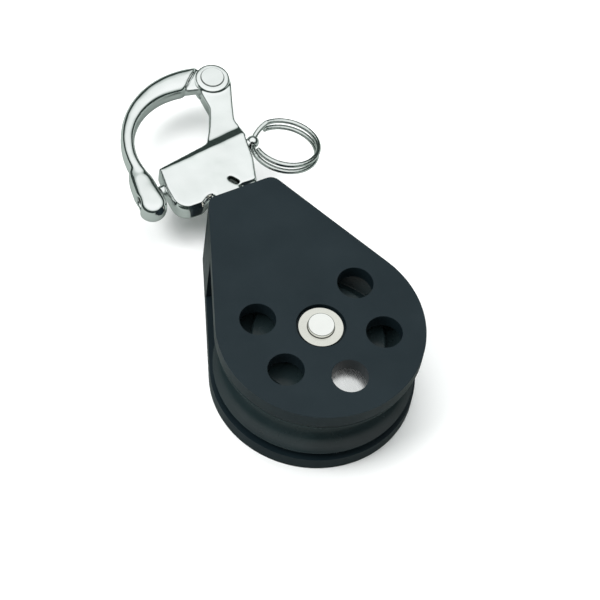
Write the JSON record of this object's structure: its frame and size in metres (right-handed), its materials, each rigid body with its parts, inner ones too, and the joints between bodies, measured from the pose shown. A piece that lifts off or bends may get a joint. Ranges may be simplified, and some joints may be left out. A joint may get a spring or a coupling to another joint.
{
  "type": "single sheave block",
  "caption": "Single sheave rope block with perforated black cheeks and a swivelling snap shackle that opens by a spring plunger with a pull ring.",
  "frame": {"origin": "on the axle line, in the outer face of the back shell", "axes": "+Z along the axle towards the front shell, +Y from the axle towards the head and shackle, +X to the right seen from the front"},
  "size_m": [0.0701, 0.1469, 0.0318],
  "materials": {
    "shell_black": "moulded reinforced nylon, satin",
    "sheave_dark": "machined acetal, satin",
    "acetal_ivory": "plain acetal, satin",
    "polished_steel": "polished stainless steel",
    "plain_steel": "bright rolled stainless steel",
    "bush_bronze": "plain bearing bronze"
  },
  "bodies": {
    "block": {"front_shell": "shell_black", "back_shell": "shell_black", "front_strap": "plain_steel", "back_strap": "plain_steel", "head_block": "plain_steel", "strap_rivets": "plain_steel", "axle": "plain_steel", "front_axle_washer": "polished_steel", "back_axle_washer": "polished_steel", "front_thrust_washer": "acetal_ivory", "back_thrust_washer": "acetal_ivory", "swivel_washer": "acetal_ivory"},
    "sheave_wheel": {"sheave": "sheave_dark", "sheave_bush": "bush_bronze"},
    "shackle": {"shackle_body": "polished_steel", "swivel_post": "plain_steel", "bail_pin": "polished_steel", "plunger_gland": "plain_steel"},
    "gate": {"bail": "polished_steel"},
    "latch": {"plunger": "polished_steel", "plunger_spring": "plain_steel"},
    "pull_ring": {"split_ring": "polished_steel"}
  },
  "joints": [
    {"name": "sheave_spin", "type": "hinge", "parent": "block", "child": "sheave_wheel", "pos_m": [0, 0, 0.0155], "axis": [0, 0, 1], "continuous": true},
    {"name": "shackle_swivel", "type": "hinge", "parent": "block", "child": "shackle", "pos_m": [0, 0.0565, 0.0155], "axis": [0, 1, 0], "continuous": true},
    {"name": "bail_pivot", "type": "hinge", "parent": "shackle", "child": "gate", "pos_m": [0.0151, 0.1064, 0.0155], "axis": [0, 0, -1], "range_deg": [0, 95]},
    {"name": "plunger_pull", "type": "slide", "parent": "shackle", "child": "latch", "axis": [0.9833, 0.1822, 0], "range_m": [-0.0004, 0.0035], "stiffness_N_per_m": 600, "springref_m": -0.004, "deforming": ["plunger_spring"]},
    {"name": "ring_swing", "type": "hinge", "parent": "latch", "child": "pull_ring", "pos_m": [0.0172, 0.0799, 0.0155], "axis": [0.5433, 0.8116, -0.2147], "range_deg": [-4, 40]}
  ]
}
